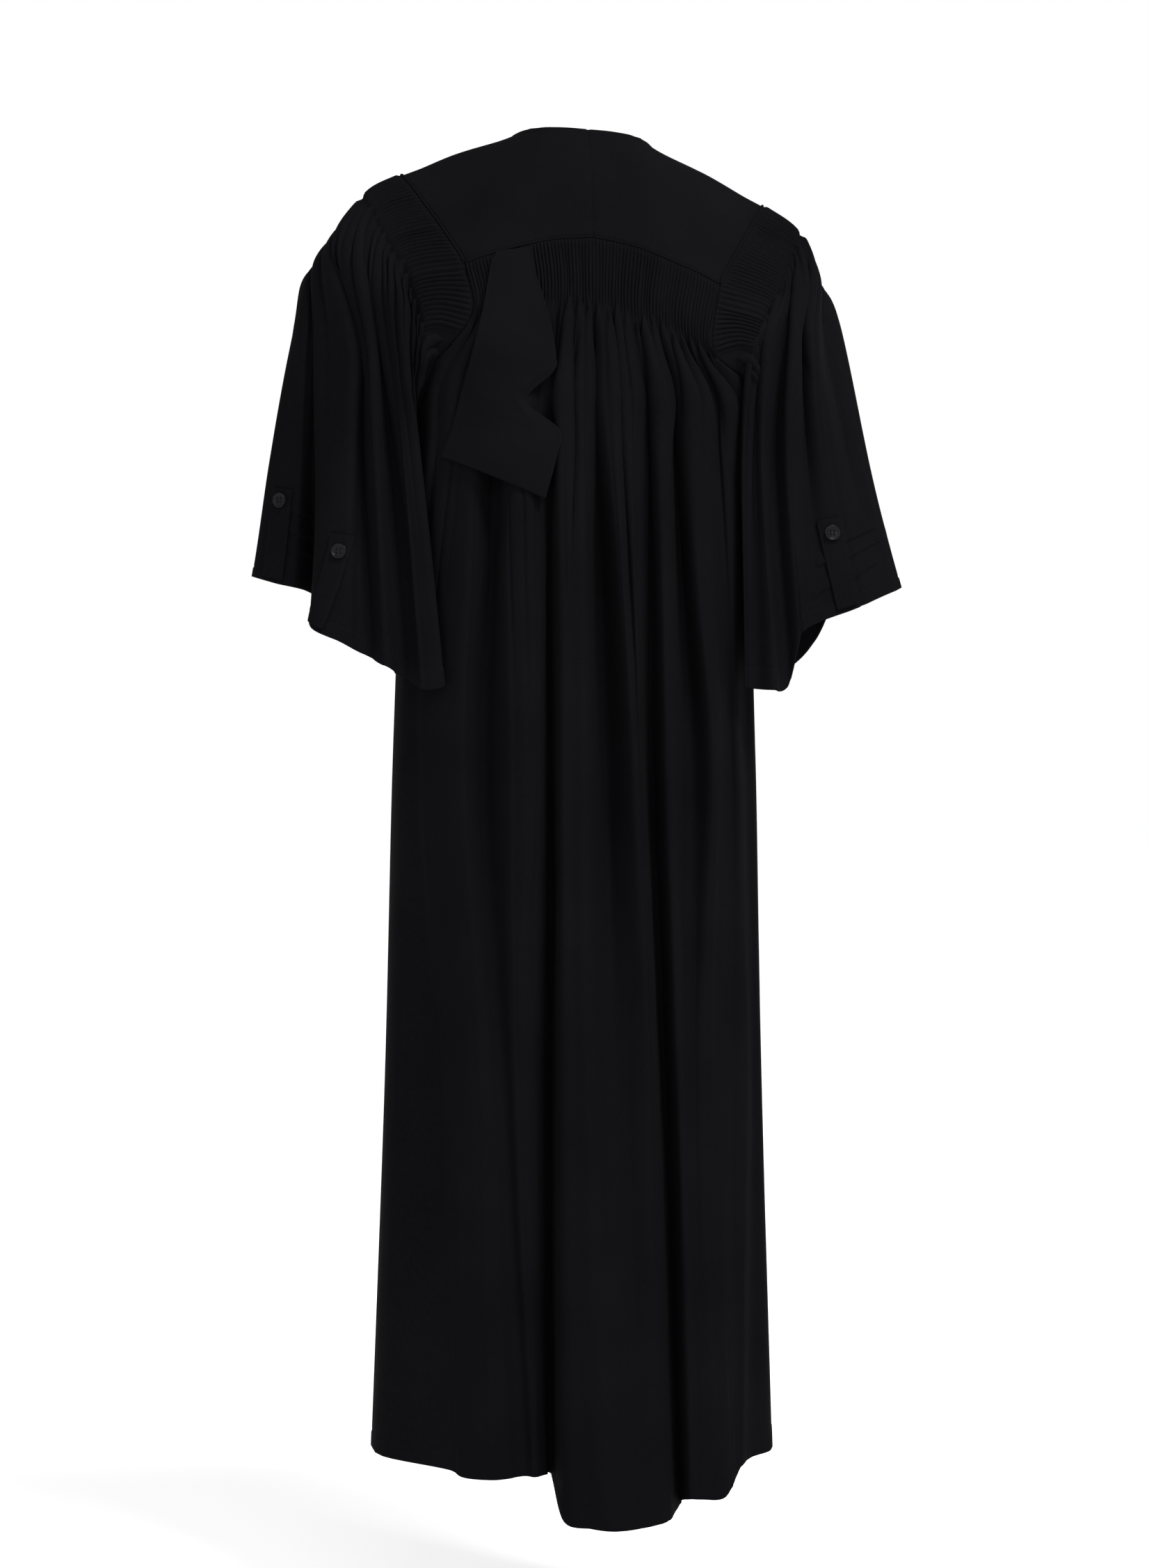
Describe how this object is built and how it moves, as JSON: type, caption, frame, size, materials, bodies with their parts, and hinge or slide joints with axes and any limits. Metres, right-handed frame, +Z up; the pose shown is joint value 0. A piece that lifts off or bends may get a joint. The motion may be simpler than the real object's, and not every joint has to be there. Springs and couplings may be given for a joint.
{
  "type": "barrister gown",
  "caption": "Black stuff gown, worn form: corded yoke, fluted gathers across back and sleeve heads, open front, wide buttoned sleeves and a small hood flap.",
  "frame": {"origin": "middle of the shoulder line, where the wearer's shoulders carry the gown", "axes": "+Z up, +X to the wearer's left, -Y to the wearer's front"},
  "size_m": [0.629, 0.2947, 1.3078],
  "materials": {
    "yoke_left": "matte",
    "yoke_right": "matte",
    "back": "matte",
    "front_left": "matte",
    "front_right": "matte",
    "sleeve_left": "matte",
    "sleeve_right": "matte",
    "hood_flap": "matte",
    "strap_left_outer": "matte",
    "strap_left_inner": "matte",
    "strap_right_outer": "matte",
    "strap_right_front": "matte",
    "button_left_outer": "polished",
    "button_left_inner": "polished",
    "button_right_outer": "polished",
    "button_right_front": "polished"
  },
  "bodies": {
    "root": {"yoke_left": "yoke_left", "yoke_right": "yoke_right", "back": "back", "front_left": "front_left", "front_right": "front_right", "sleeve_left": "sleeve_left", "sleeve_right": "sleeve_right", "hood_flap": "hood_flap", "strap_left_outer": "strap_left_outer", "strap_left_inner": "strap_left_inner", "strap_right_outer": "strap_right_outer", "strap_right_front": "strap_right_front", "button_left_outer": "button_left_outer", "button_left_inner": "button_left_inner", "button_right_outer": "button_right_outer", "button_right_front": "button_right_front"}
  },
  "joints": []
}
